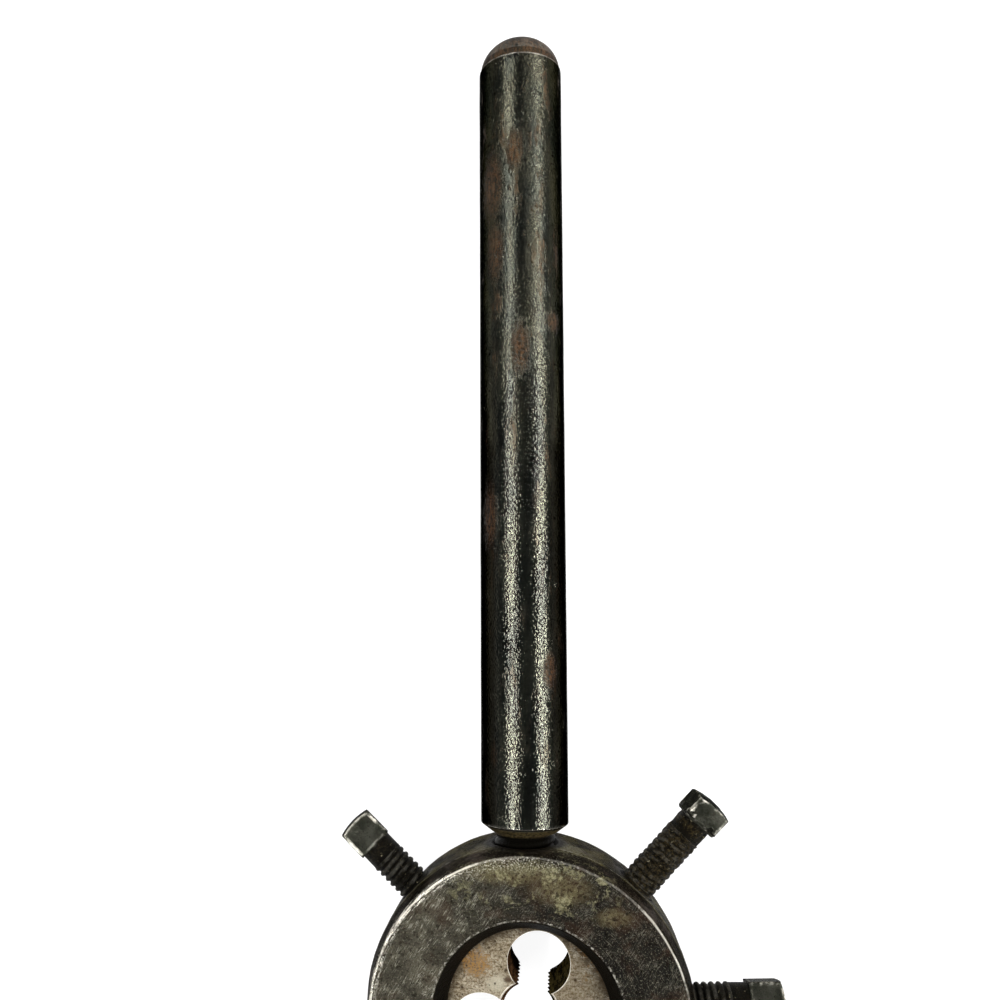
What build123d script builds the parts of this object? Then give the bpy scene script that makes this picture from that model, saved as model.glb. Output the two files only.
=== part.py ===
from build123d import *
import os
from math import cos, radians, sin

# Hand die stock with a round threading die, in millimetres.
# The origin is on the die's axis, level with the axes of the handles and screws.
# +Z runs along the die's axis, out of the open front; +Y runs along the upper handle.

# collar
collar_radius = 29.0
collar_thickness = 17.5
front_radius = 27.9         # the outer wall tapers to this at the front face
taper_height = 4.5
back_chamfer = 0.6
rim_chamfer = 0.3           # worn edge of the front face

# lip that the die is pushed up against, from behind
lip_thickness = 4.5
lip_radius = 14.35          # at the die's face
lip_mouth_radius = 16.7     # at the front face
mouth_chamfer = 0.25
seat_clearance = 0.05       # radial, between the die and its seat
seat_chamfer = 0.5

# round die
die_radius = 16.67          # 1 5/16 in across
die_thickness = 12.7
die_edge_chamfer = 0.4
thread_radius = 4.55        # crests of a 7/16 in thread
lead_in_radius = 5.4
flute_count = 3
flute_radius = 5.55
flute_circle_radius = 8.65
flute_angle = 77.4
split_flute = 2             # the flute, counted from the first, that opens to the rim
split_width = 1.2

# set screws
centre_angle = 3.5          # of the centre screw's axis about the die
closing_spread = 44.2       # of the closing screws, either side of the centre screw
locking_spread = 132.8      # of the locking screws, either side of the centre screw
screw_radius = 3.15
hole_clearance = 0.05       # radial, between a screw and its hole
hole_countersink = 0.45
shank_length = 22.9         # point to the underside of the head
neck_radius = 3.0
neck_length = 3.2
point_radius = 0.9          # blunt end of the cone point
point_bite = 1.0            # how far a tight screw's point lies inside the die's rim
point_gap = 0.35            # between a tight point and its dimple, along the screw
head_width = 6.5            # across flats
head_height = 6.0
short_head_height = 4.8     # the upper closing screw's head was made shorter
head_dome = 0.6
head_corner = 0.45
head_base_chamfer = 0.3
closing_backed_out = 5.9    # how far the upper closing screw stands out of its dimple
locking_backed_out = 0.8    # how far the upper locking screw does

# handles
handle_radius = 7.94        # 5/8 in rod
handle_length = 152.4       # 6 in rod, without the stub
handle_offset = -0.65       # the handle holes were drilled this far to the side
handle_standoff = 1.5       # between the collar's wall and the rod's end
dome_height = 6.5
dome_edge_radius = 7.7      # where the dome starts, just inside the rod's side
root_chamfer = 2.1
stub_radius = 5.5           # 7/16 in thread
stub_length = 11.6
stub_chamfer = 0.8
stub_clearance = 0.05
handle_hole_depth = 11.0
handle_countersink_radius = 6.7

front_z = collar_thickness / 2
back_z = -collar_thickness / 2
die_front_z = front_z - lip_thickness
die_back_z = die_front_z - die_thickness
seat_radius = die_radius + seat_clearance
screw_hole_radius = screw_radius + hole_clearance
tight_point = die_radius - point_bite       # distance of a tight point's end from the axis

# angle about the die, distance backed out, turn of the head, height of the head
screws = {
    "centre_screw": (centre_angle, 0.0, -14.0, head_height),
    "upper_closing_screw": (centre_angle + closing_spread, closing_backed_out, 9.0,
                            short_head_height),
    "lower_closing_screw": (centre_angle - closing_spread, 0.0, -20.0, head_height),
    "upper_locking_screw": (centre_angle + locking_spread, locking_backed_out, 14.1,
                            head_height),
    "lower_locking_screw": (centre_angle - locking_spread, 0.0, 30.0, head_height),
}
handles = {"upper_handle": 90.0, "lower_handle": 270.0}


def outward(angle):
    """Unit vector along the radius at this angle about the die."""
    return Vector(cos(radians(angle)), sin(radians(angle)), 0)


def cross_plane(angle, distance, aside=0.0):
    """Plane square to the radius, facing outwards, with its x along +Z."""
    origin = outward(angle) * distance + Vector(aside, 0, 0)
    return Plane(origin=origin, x_dir=(0, 0, 1), z_dir=outward(angle))


def section_plane(angle, aside=0.0):
    """Plane through the radius and +Z: its x runs outwards and its y along +Z."""
    return Plane(origin=(aside, 0, 0), x_dir=outward(angle),
                 z_dir=outward(angle).cross(Vector(0, 0, 1)))


def radial_axis(angle, aside=0.0):
    """Axis outwards along the radius."""
    return Axis((aside, 0, 0), outward(angle))


# ---- collar: one cast and turned ring
with BuildPart() as collar:
    with BuildSketch(Plane.XZ):
        Polygon(
            (seat_radius, back_z),
            (collar_radius, back_z),
            (collar_radius, front_z - taper_height),
            (front_radius, front_z),
            (lip_mouth_radius, front_z),
            (lip_radius, die_front_z),
            (seat_radius, die_front_z),
            align=None,
        )
    revolve(axis=Axis.Z)
    circles = collar.edges().filter_by(GeomType.CIRCLE)
    front_edges = circles.group_by(Axis.Z)[-1].sort_by(SortBy.RADIUS)
    back_edges = circles.group_by(Axis.Z)[0].sort_by(SortBy.RADIUS)
    chamfer(front_edges[-1], rim_chamfer)
    chamfer(front_edges[0], mouth_chamfer)
    chamfer(back_edges[-1], back_chamfer)
    chamfer(back_edges[0], seat_chamfer)
    for angle, _, _, _ in screws.values():
        with Locations(cross_plane(angle, collar_radius)):
            CounterSinkHole(screw_hole_radius, screw_hole_radius + hole_countersink,
                            depth=collar_radius - seat_radius + screw_hole_radius,
                            counter_sink_angle=90)
    for angle in handles.values():
        with Locations(cross_plane(angle, collar_radius, handle_offset)):
            CounterSinkHole(stub_radius + stub_clearance, handle_countersink_radius,
                            depth=handle_hole_depth, counter_sink_angle=90)
collar.part.label = "collar"

# ---- round die: ground disc with chip flutes, a split to the rim and screw dimples
with BuildPart() as die:
    with BuildSketch(Plane.XY.offset(die_back_z)):
        Circle(die_radius)
        with PolarLocations(flute_circle_radius, flute_count, start_angle=flute_angle):
            Circle(flute_radius, mode=Mode.SUBTRACT)
    extrude(amount=die_thickness)
    rim_edges = die.edges().filter_by(lambda edge: edge.geom_type == GeomType.CIRCLE
                                      and abs(edge.radius - die_radius) < 0.01)
    chamfer(rim_edges, die_edge_chamfer)
    lead_in = lead_in_radius - thread_radius
    with BuildSketch(Plane.XZ):
        Polygon(
            (0, die_back_z),
            (lead_in_radius, die_back_z),
            (thread_radius, die_back_z + lead_in),
            (thread_radius, die_front_z - lead_in),
            (lead_in_radius, die_front_z),
            (0, die_front_z),
            align=None,
        )
    revolve(axis=Axis.Z, mode=Mode.SUBTRACT)
    split_angle = flute_angle + split_flute * 360 / flute_count
    with BuildSketch(cross_plane(split_angle, flute_circle_radius)):
        Rectangle(2 * collar_thickness, split_width)
    extrude(amount=die_radius, mode=Mode.SUBTRACT)
    dimple_end = tight_point - point_gap
    dimple_mouth = die_radius + point_bite
    for angle, _, _, _ in screws.values():
        with BuildSketch(section_plane(angle)):
            Polygon(
                (dimple_end, 0),
                (dimple_mouth, 0),
                (dimple_mouth, point_radius + dimple_mouth - dimple_end),
                (dimple_end, point_radius),
                align=None,
            )
        revolve(axis=radial_axis(angle), mode=Mode.SUBTRACT)
die.part.label = "die"

# ---- set screws: cone point, shank, neck and a square head with a domed top
pieces = [collar, die]
corner_reach = head_width * 0.71
dome_radius = (corner_reach ** 2 + head_dome ** 2) / (2 * head_dome)
for name, (angle, backed_out, head_turn, height) in screws.items():
    point_end = tight_point + backed_out
    head_base = point_end + shank_length
    head_top = head_base + height
    neck_start = head_base - neck_length
    with BuildPart() as screw:
        with BuildSketch(cross_plane(angle, head_base)):
            RectangleRounded(head_width, head_width, head_corner, rotation=head_turn)
        extrude(amount=height)
        chamfer(screw.faces().sort_by(radial_axis(angle))[0].edges(), head_base_chamfer)
        with BuildSketch(section_plane(angle)):
            with BuildLine():
                dome = RadiusArc((head_top, 0), (head_top - head_dome, corner_reach),
                                 dome_radius)
                Polyline(dome @ 1, (head_top + head_dome, corner_reach),
                         (head_top + head_dome, 0), dome @ 0)
            make_face()
        revolve(axis=radial_axis(angle), mode=Mode.SUBTRACT)
        with BuildSketch(section_plane(angle)):
            Polygon(
                (point_end, 0),
                (head_base + head_base_chamfer, 0),
                (head_base + head_base_chamfer, neck_radius),
                (neck_start, neck_radius),
                (neck_start - screw_radius + neck_radius, screw_radius),
                (point_end + screw_radius - point_radius, screw_radius),
                (point_end, point_radius),
                align=None,
            )
        revolve(axis=radial_axis(angle))
    screw.part.label = name
    pieces.append(screw)

# ---- handles: turned rods with a domed end and a threaded stub
root = collar_radius + handle_standoff
stub_end = root - stub_length
dome_start = root + handle_length - dome_height
for name, angle in handles.items():
    with BuildPart() as handle:
        with BuildSketch(section_plane(angle, handle_offset)):
            with BuildLine():
                dome = EllipticalCenterArc((dome_start, 0), dome_height, dome_edge_radius,
                                           start_angle=0, arc_size=90)
                Polyline(
                    dome @ 1,
                    (dome_start, handle_radius),
                    (root + root_chamfer, handle_radius),
                    (root, handle_radius - root_chamfer),
                    (root, stub_radius),
                    (stub_end + stub_chamfer, stub_radius),
                    (stub_end, stub_radius - stub_chamfer),
                    (stub_end, 0),
                    dome @ 0,
                )
            make_face()
        revolve(axis=radial_axis(angle, handle_offset))
    handle.part.label = name
    pieces.append(handle)

os.makedirs("parts", exist_ok=True)
for piece in pieces:
    export_step(piece.part, f"parts/{piece.part.label}.step")
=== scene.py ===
from math import ceil, cos, hypot, pi, radians, sin

import bmesh
import bpy
from mathutils import Euler, Matrix, Vector


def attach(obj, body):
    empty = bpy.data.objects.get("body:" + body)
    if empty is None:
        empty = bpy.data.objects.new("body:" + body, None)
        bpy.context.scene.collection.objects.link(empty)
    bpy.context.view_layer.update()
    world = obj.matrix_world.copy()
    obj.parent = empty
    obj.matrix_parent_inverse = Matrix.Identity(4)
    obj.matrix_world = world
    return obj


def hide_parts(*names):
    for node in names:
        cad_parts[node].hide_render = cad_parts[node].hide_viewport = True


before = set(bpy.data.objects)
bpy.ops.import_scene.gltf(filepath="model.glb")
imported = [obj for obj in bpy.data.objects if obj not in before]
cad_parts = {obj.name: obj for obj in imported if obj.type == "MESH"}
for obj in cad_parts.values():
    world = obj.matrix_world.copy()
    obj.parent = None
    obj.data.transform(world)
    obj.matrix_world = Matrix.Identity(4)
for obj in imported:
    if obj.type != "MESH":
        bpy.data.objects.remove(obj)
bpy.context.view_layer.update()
print("frame loaded")

# Everything is modelled in millimetres about its own axis, then put in its place in metres.
weld = 0.002  # points nearer than this are one


def backToObjects():
    if bpy.context.object and bpy.context.object.mode != "OBJECT":
        bpy.ops.object.mode_set(mode="OBJECT")
    bpy.ops.object.select_all(action="DESELECT")


def pick(piece):
    backToObjects()
    piece.select_set(True)
    bpy.context.view_layer.objects.active = piece


def editAll(piece):
    pick(piece)
    bpy.ops.object.mode_set(mode="EDIT")
    bpy.ops.mesh.select_all(action="SELECT")


def applyModifier(piece, name):
    pick(piece)
    bpy.ops.object.modifier_apply(modifier=name)


def cleanShell(piece):
    editAll(piece)
    bpy.ops.mesh.remove_doubles(threshold=weld)
    bpy.ops.mesh.normals_make_consistent(inside=False)
    backToObjects()


def drawProfile(name, points):
    # a single point drawn on step by step: x outwards, z along the axis
    backToObjects()
    bpy.ops.mesh.primitive_plane_add(size=1)
    piece = bpy.context.object
    piece.name = name
    bpy.ops.object.mode_set(mode="EDIT")
    bpy.ops.mesh.select_all(action="SELECT")
    bpy.ops.mesh.merge(type="CENTER")
    bpy.ops.transform.translate(value=(points[0][0], 0, points[0][1]))
    for (r0, h0), (r1, h1) in zip(points, points[1:]):
        bpy.ops.mesh.extrude_vertices_move(TRANSFORM_OT_translate={"value": (r1 - r0, 0, h1 - h0)})
    backToObjects()
    return piece


def spinProfile(piece, segments, pitch=0.0, turns=1):
    spin = piece.modifiers.new("spin", "SCREW")
    spin.axis = "Z"
    spin.steps = spin.render_steps = segments
    spin.screw_offset = pitch
    spin.iterations = turns
    spin.use_merge_vertices = True
    spin.merge_threshold = weld
    applyModifier(piece, "spin")
    cleanShell(piece)


def easedPoints(corners, closed=False, longest=1.0, cuts=3):
    # corners are (radius, height, ease): each corner is rounded by its ease, and long runs are divided
    count = len(corners)
    points = []
    for i, (r, h, ease) in enumerate(corners):
        here = Vector((r, h))
        if not ease or (not closed and i in (0, count - 1)):
            points.append(here)
            continue
        before = Vector(corners[i - 1][:2])
        after = Vector(corners[(i + 1) % count][:2])
        start = here + (before - here).normalized() * ease
        end = here + (after - here).normalized() * ease
        for step in range(cuts + 1):
            t = step / cuts
            points.append(start * (1 - t) ** 2 + here * 2 * t * (1 - t) + end * t ** 2)
    if closed:
        points.append(points[0].copy())
    dense = [points[0]]
    for a, b in zip(points, points[1:]):
        parts = max(1, ceil((b - a).length / longest - 0.01))
        dense += [a.lerp(b, k / parts) for k in range(1, parts + 1)]
    return [(p.x, p.y) for p in dense]


def combine(piece, other, operation):
    join = piece.modifiers.new("combine", "BOOLEAN")
    join.object = other
    join.operation = operation
    join.solver = "EXACT"
    applyModifier(piece, "combine")
    bpy.data.objects.remove(other)


def joinPieces(pieces):
    backToObjects()
    for piece in pieces:
        piece.select_set(True)
    bpy.context.view_layer.objects.active = pieces[0]
    bpy.ops.object.join()
    return pieces[0]


def roughen(piece, strength, size, middle=0.5, contrast=1.0, group=None):
    # lumps and hollows, or chips where the contrast is high and the middle is 0
    lumps = bpy.data.textures.new("lumps", "CLOUDS")
    lumps.noise_scale = size
    lumps.contrast = contrast
    lumps.noise_depth = 2
    push = piece.modifiers.new("roughen", "DISPLACE")
    push.texture = lumps
    push.texture_coords = "LOCAL"
    push.strength = strength
    push.mid_level = middle
    if group:
        push.vertex_group = group
    applyModifier(piece, "roughen")


def setReach(vert, reach):
    # moves a point out from the z axis or in towards it
    now = hypot(vert.co.x, vert.co.y)
    if now > 0:
        vert.co.x *= reach / now
        vert.co.y *= reach / now


def weigh(piece, name, weight):
    # a vertex group with weight(point) at each point
    group = piece.vertex_groups.new(name=name)
    for vert in piece.data.vertices:
        group.add([vert.index], weight(vert.co), "REPLACE")


def along(angle, aside=0.0):
    # stands a piece on the radius at this angle: its z runs outwards and its x up the die's axis
    out = Vector((cos(radians(angle)), sin(radians(angle)), 0))
    up = Vector((0, 0, 1))
    turn = Matrix((up, out.cross(up), out)).transposed().to_4x4()
    return Matrix.Translation((aside, 0, 0)) @ turn


def markPoints(piece, name, values):
    piece.data.attributes.new(name, "FLOAT", "POINT").data.foreach_set("value", values)


def markWear(piece):
    # edge is high on outside corners, where the finish is rubbed off, and hollow where dirt stays
    grid = bmesh.new()
    grid.from_mesh(piece.data)
    bend = []
    for vert in grid.verts:
        turns = [e.calc_face_angle_signed(0) for e in vert.link_edges if len(e.link_faces) == 2]
        bend.append(sum(turns))
    # each point takes half of its neighbours' mean
    bend = [(value + sum(bend[e.other_vert(v).index]
                         for e in v.link_edges) / len(v.link_edges)) / 2 if v.link_edges else 0.0
            for v, value in zip(grid.verts, bend)]
    grid.free()
    markPoints(piece, "edge", [min(1.0, max(0.0, b)) for b in bend])
    markPoints(piece, "hollow", [min(1.0, max(0.0, -b)) for b in bend])


def finishPiece(piece, material, place, body, node, smoothAngle):
    piece.data.transform(Matrix.Scale(0.001, 4) @ place)
    markWear(piece)
    piece.data.materials.clear()
    piece.data.materials.append(material)
    pick(piece)
    bpy.ops.object.shade_smooth_by_angle(angle=radians(smoothAngle))
    backToObjects()
    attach(piece, body)
    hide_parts(node)
    print(piece.name, len(piece.data.polygons), "faces")


# Materials are drawn with the short helpers below. Each adds its node to the tree of the socket
# that it is fed.

def tone(red, green, blue):
    # a colour as seen on screen, from 0 to 255, in linear light
    parts = [c / 255 for c in (red, green, blue)]
    return tuple(c / 12.92 if c < 0.04045 else ((c + 0.055) / 1.055) ** 2.4 for c in parts) + (1,)


def fill(node, sockets):
    for name, value in sockets.items():
        if isinstance(value, bpy.types.NodeSocket):
            value.id_data.links.new(value, node.inputs[name])
        else:
            node.inputs[name].default_value = value
    return node


def put(tree, kind, sockets={}, **settings):
    node = tree.nodes.new("ShaderNode" + kind)
    for name, value in settings.items():
        setattr(node, name, value)
    return fill(node, sockets)


def treeOf(values):
    return next(v.id_data for v in values if isinstance(v, bpy.types.NodeSocket))


def calc(operation, *values):
    return put(treeOf(values), "Math", dict(enumerate(values)), operation=operation).outputs[0]


def times(first, second):
    return calc("MULTIPLY", first, second)


def plus(first, second):
    return calc("ADD", first, second)


def minus(first, second):
    return calc("SUBTRACT", first, second)


def most(masks):
    total = masks[0]
    for mask in masks[1:]:
        total = calc("MAXIMUM", total, mask)
    return total


def distance(across, up):
    return calc("SQRT", plus(times(across, across), times(up, up)))


def span(value, low, high, first=0.0, last=1.0):
    # eases from first to last while the value goes from low to high
    sockets = {"Value": value, "From Min": low, "From Max": high, "To Min": first, "To Max": last}
    return put(value.id_data, "MapRange", sockets, interpolation_type="SMOOTHSTEP").outputs[0]


def mixTones(share, first, second):
    return put(share.id_data, "Mix", {0: share, 6: first, 7: second}, data_type="RGBA").outputs[2]


def cloud(place, scale, detail=4.0, roughness=0.55, distortion=0.0):
    sockets = {"Vector": place, "Scale": scale, "Detail": detail, "Roughness": roughness,
               "Distortion": distortion}
    return put(place.id_data, "TexNoise", sockets).outputs[0]


def stretch(place, scale, turn=(0, 0, 0)):
    return put(place.id_data, "Mapping", {"Vector": place, "Rotation": turn, "Scale": scale}).outputs[0]


def vector(operation, first, second):
    return put(first.id_data, "VectorMath", {0: first, 1: second}, operation=operation).outputs[0]


def axes(place):
    return put(place.id_data, "SeparateXYZ", {0: place}).outputs


def fromAxes(x, y, z):
    return put(treeOf([x, y, z]), "CombineXYZ", {0: x, 1: y, 2: z}).outputs[0]


def millimetres(tree):
    where = put(tree, "TexCoord").outputs["Object"]
    return put(tree, "VectorMath", {0: where, "Scale": 1000.0}, operation="SCALE").outputs[0]


def attribute(tree, name):
    return put(tree, "Attribute", attribute_name=name).outputs["Fac"]


def newGroup(name, inputs):
    group = bpy.data.node_groups.new(name, "ShaderNodeTree")
    for label, value in inputs.items():
        kind = "NodeSocketVector" if isinstance(value, tuple) else "NodeSocketFloat"
        group.interface.new_socket(name=label, in_out="INPUT", socket_type=kind).default_value = value
    group.interface.new_socket(name="Mask", in_out="OUTPUT", socket_type="NodeSocketFloat")
    return group, group.nodes.new("NodeGroupInput").outputs, group.nodes.new("NodeGroupOutput")


def use(group, **sockets):
    node = treeOf(sockets.values()).nodes.new("ShaderNodeGroup")
    node.node_tree = group
    return fill(node, sockets).outputs[0]


def newSteel(name, metallic, tint):
    material = bpy.data.materials.new(name)
    material.use_nodes = True
    tree = material.node_tree
    shader = tree.nodes["Principled BSDF"]
    shader.inputs["Metallic"].default_value = metallic
    shader.inputs["Specular IOR Level"].default_value = 0.12
    shader.inputs["Specular Tint"].default_value = tint
    return material, tree, shader


def finishShader(shader, colour, metallic, roughness, height, depth):
    bump = put(height.id_data, "Bump", {"Strength": 1.0, "Distance": depth, "Height": height})
    fill(shader,
         {"Base Color": colour, "Metallic": metallic, "Roughness": roughness, "Normal": bump.outputs[0]})


# Effects that several finishes share. Each puts out one mask.

def makeBlotches():
    # patches with ragged edges: Size in mm, Cover from 0 to 1
    group, given, out = newGroup("blotches",
                                 {"Place": (0.0, 0.0, 0.0), "Size": 5.0, "Cover": 0.4, "Soft": 0.08})
    broad = cloud(given["Place"], calc("DIVIDE", 1.0, given["Size"]), 3.0, 0.6, 0.3)
    ragged = cloud(given["Place"], calc("DIVIDE", 7.0, given["Size"]), 3.0, 0.7)
    height = plus(broad, times(minus(ragged, 0.5), 0.3))
    level = minus(0.78, times(given["Cover"], 0.56))
    mask = span(height, minus(level, given["Soft"]), plus(level, given["Soft"]))
    fill(out, {"Mask": mask})
    return group


def makeScratches():
    # fine lines along x after the turn about z: Length and Gap in mm
    group, given, out = newGroup("scratches",
                                 {"Place": (0.0, 0.0, 0.0), "Turn": 0.0, "Length": 8.0, "Gap": 0.5,
                                  "Thin": 0.03, "Cover": 0.5})
    turned = put(group, "VectorRotate", {"Vector": given["Place"], "Angle": given["Turn"]},
                 rotation_type="Z_AXIS").outputs[0]
    lengthScale = calc("DIVIDE", 1.0, given["Length"])
    drawn = vector("MULTIPLY", turned,
                   fromAxes(lengthScale, calc("DIVIDE", 1.0, given["Gap"]), lengthScale))
    lines = cloud(drawn, 1.0, 2.0, 0.5, 0.2)
    away = calc("ABSOLUTE", minus(lines, 0.5))
    thin = minus(1.0, span(away, 0.0, given["Thin"]))
    some = cloud(given["Place"], 0.35, 3.0, 0.6)
    level = minus(0.75, times(given["Cover"], 0.5))
    fill(out, {"Mask": times(thin, span(some, level, plus(level, 0.12)))})
    return group


def makePits():
    # small round pits, Size in mm between them, Share of the places that has one
    group, given, out = newGroup("pits", {"Place": (0.0, 0.0, 0.0), "Size": 1.0, "Share": 0.4})
    cells = put(group, "TexVoronoi",
                {"Vector": given["Place"], "Scale": calc("DIVIDE", 1.0, given["Size"])})
    lot = axes(cells.outputs["Color"])
    reach = plus(0.12, times(lot[1], 0.3))
    hole = minus(1.0, span(cells.outputs["Distance"], times(reach, 0.4), reach))
    fill(out, {"Mask": times(hole, calc("LESS_THAN", lot[0], given["Share"]))})
    return group


def makeRubbed():
    # bare metal on outside edges, broken up by noise
    group, given, out = newGroup("rubbed",
                                 {"Edge": 0.0, "Place": (0.0, 0.0, 0.0), "Size": 1.5, "Amount": 0.5})
    ragged = cloud(given["Place"], calc("DIVIDE", 1.0, given["Size"]), 4.0, 0.65)
    need = minus(0.85, given["Amount"])
    some = span(ragged, minus(need, 0.12), plus(need, 0.12))
    fill(out, {"Mask": times(some, span(given["Edge"], 0.25, 0.75))})
    return group


def makePatch():
    # one soft patch about a point: Centre and Reach in mm
    group, given, out = newGroup("patch",
                                 {"Place": (0.0, 0.0, 0.0), "Centre": (0.0, 0.0, 0.0),
                                  "Reach": (5.0, 5.0, 5.0), "Ragged": 0.5})
    off = vector("DIVIDE", vector("SUBTRACT", given["Place"], given["Centre"]), given["Reach"])
    far = put(group, "VectorMath", {0: off}, operation="LENGTH").outputs["Value"]
    far = plus(far, times(minus(given["Ragged"], 0.5), 1.8))
    fill(out, {"Mask": minus(1.0, span(far, 0.4, 1.05))})
    return group


blotches = makeBlotches()
scratches = makeScratches()
pits = makePits()
rubbed = makeRubbed()
patch = makePatch()
print("shared effects ready")


# handles: blackened rods with a domed end and a threaded stub
rod = {
    "radius": 8.02, "root": 30.5, "length": 152.4, "segments": 112, "ringGap": 0.8, "aside": -0.58,
    "domeHeight": 6.5, "domeEdge": 7.78, "domeSteps": 14,
    "chamfer": 2.1, "chamferHeight": 1.6, "innerEdge": 4.0, "smoothAngle": 32,
    "stubRoot": 4.95, "stubCrest": 5.53, "stubPitch": 1.814, "stubEnd": 18.9, "stubTaper": 0.9,
    "stubSegments": 64, "lumps": [(0.06, 8.0), (0.02, 1.6)], "bump": 0.00009, "tint": tone(52, 52, 50),
    "inTones": (tone(58, 59, 55), tone(80, 80, 71)), "outTones": (tone(46, 48, 43), tone(64, 63, 53)),
    "rustTones": (tone(34, 24, 17), tone(92, 62, 38)), "soilTones": (tone(24, 19, 11), tone(78, 68, 44)),
    # on the next line the first tone is painted shade for the rod's flanks, and the second is painted
    # shadow for the stub down in the collar's countersink
    "grimeAndShade": tone(20, 18, 14), "sinkShadow": tone(8, 7, 5), "bareAndHighlight": tone(190, 186, 176),
    "rustSpots": [
        ((-5.5, 151, 5), (2.6, 9, 5)), ((-5.0, 138, 5), (2.2, 8, 5)), ((-0.6, 119, 8), (2.2, 6, 3)),
        ((5.6, 124.5, 5.5), (1.6, 2.6, 3)), ((-6.2, 88, 4.5), (1.8, 8, 4)),
        ((-1.5, 157, 8), (2.0, 5, 3)), ((4.2, 60, 6), (1.6, 4, 3)), ((-1, 180.5, 2), (6, 4.2, 7)),
    ],
}


def makeHandleSteel():
    material, tree, shader = newSteel("blackenedRodSteel", 1.0, rod["tint"])
    place = millimetres(tree)
    across, lengthways, _ = axes(place)
    lengthways = calc("ABSOLUTE", lengthways)
    drawn = stretch(place, (1, 0.24, 1))
    mottle = cloud(drawn, 0.3, 4.0, 0.6)
    grain = cloud(place, 2.2, 3.0, 0.75)
    sparkle = cloud(stretch(place, (1, 0.85, 1)), 3.0, 1.0, 0.35)
    fibre = cloud(stretch(place, (2.6, 0.6, 2.6)), 1.0, 3.0, 0.7)
    # the outer half is browner and duller, the half by the collar is handled black and smooth
    outer = span(plus(lengthways, times(mottle, 60.0)), 100.0, 180.0)
    mottled = span(mottle, 0.35, 0.65)
    colour = mixTones(outer, mixTones(mottled, *rod["inTones"]), mixTones(mottled, *rod["outTones"]))
    colour = mixTones(span(grain, 0.5, 0.66, 0.0, 0.6), colour, tone(28, 26, 20))
    colour = mixTones(span(fibre, 0.55, 0.75, 0.0, 0.3), colour, tone(98, 96, 84))
    # painted shade: both flanks of the inner half are darkened towards a near-black tone
    flank = calc("ABSOLUTE", minus(across, rod["aside"]))
    flank = span(plus(flank, mottle), 4.6, 5.8)
    flankShade = times(flank, span(outer, 0.2, 0.9, 0.8, 0.0))
    colour = mixTones(flankShade, colour, rod["grimeAndShade"])
    spots = most([use(patch, Place=place, Centre=centre, Reach=reach, Ragged=fibre)
                  for centre, reach in rod["rustSpots"]])
    loose = times(use(blotches, Place=drawn, Size=2.6, Cover=0.27, Soft=0.1),
                  span(outer, 0.0, 1.0, 0.3, 0.7))
    rust = most([times(spots, span(grain, 0.34, 0.52, 0.2, 1.0)), loose])
    cap = span(lengthways, 176.0, 176.5)
    rust = calc("MAXIMUM", rust, times(cap, span(mottle, 0.3, 0.6, 0.5, 0.95)))
    rustTone = mixTones(span(fibre, 0.4, 0.6), *rod["rustTones"])
    colour = mixTones(times(rust, 0.6), colour, rustTone)
    line = use(scratches, Place=place, Turn=1.2, Length=3.0, Gap=0.5, Thin=0.03, Cover=0.3)
    colour = mixTones(times(line, 0.4), colour, tone(140, 138, 126))
    bareAndHighlight = use(rubbed, Edge=attribute(tree, "edge"), Place=place, Size=1.0, Amount=0.45)
    colour = mixTones(times(bareAndHighlight, 0.8), colour, rod["bareAndHighlight"])
    hole = use(pits, Place=place, Size=1.1, Share=0.3)
    colour = mixTones(times(hole, 0.6), colour, tone(12, 10, 8))
    # grime on the chamfer, and painted shadow, near black, on the stub down in the collar's countersink
    soilAndShade = attribute(tree, "soilAndShade")
    soilAndShadowTone = mixTones(span(grain, 0.36, 0.62), *rod["soilTones"])
    soilAndShadowTone = mixTones(span(lengthways, 29.9, 30.6), rod["sinkShadow"], soilAndShadowTone)
    colour = mixTones(soilAndShade, colour, soilAndShadowTone)
    dull = most([times(rust, 0.6), soilAndShade])
    rough = plus(span(outer, 0.0, 1.0, 0.13, 0.2), times(dull, 0.35))
    rough = plus(rough, times(mottled, 0.05))
    height = plus(sparkle, times(most([rust, soilAndShade]), grain))
    height = minus(height, times(hole, 0.3))
    height = minus(height, times(line, 0.2))
    finishShader(shader, colour, span(dull, 0.0, 1.0, 1.0, 0.1), rough, height, rod["bump"])
    return material


def threadedRod(name, root, crest, pitch, start, end, segments):
    # one turn of a rounded V, spun along the axis, with flat closed ends
    deep = crest - root
    flat = 0.12  # the share of the pitch that the crest takes
    shape = [(0, 0), (0.05, 0), (0.12, 0.14), (0.3 - flat / 2, 0.66), (0.38 - flat / 2, 0.88),
             (0.5 - flat / 2, 1), (0.5 + flat / 2, 1), (0.62 + flat / 2, 0.88), (0.7 + flat / 2, 0.66),
             (0.88, 0.14), (0.95, 0), (1, 0)]
    profile = [(root + deep * up, pitch * share) for share, up in shape]
    low = start - 2 * pitch
    piece = drawProfile(name, [(r, h + low) for r, h in profile])
    spinProfile(piece, segments, pitch, ceil((end - start) / pitch) + 3)
    editAll(piece)
    bpy.ops.mesh.bisect(plane_co=(0, 0, start), plane_no=(0, 0, 1), use_fill=True, clear_inner=True,
                        threshold=1e-5)
    bpy.ops.mesh.select_all(action="SELECT")
    bpy.ops.mesh.bisect(plane_co=(0, 0, end), plane_no=(0, 0, 1), use_fill=True, clear_outer=True,
                        threshold=1e-5)
    cleanShell(piece)
    return piece


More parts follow.
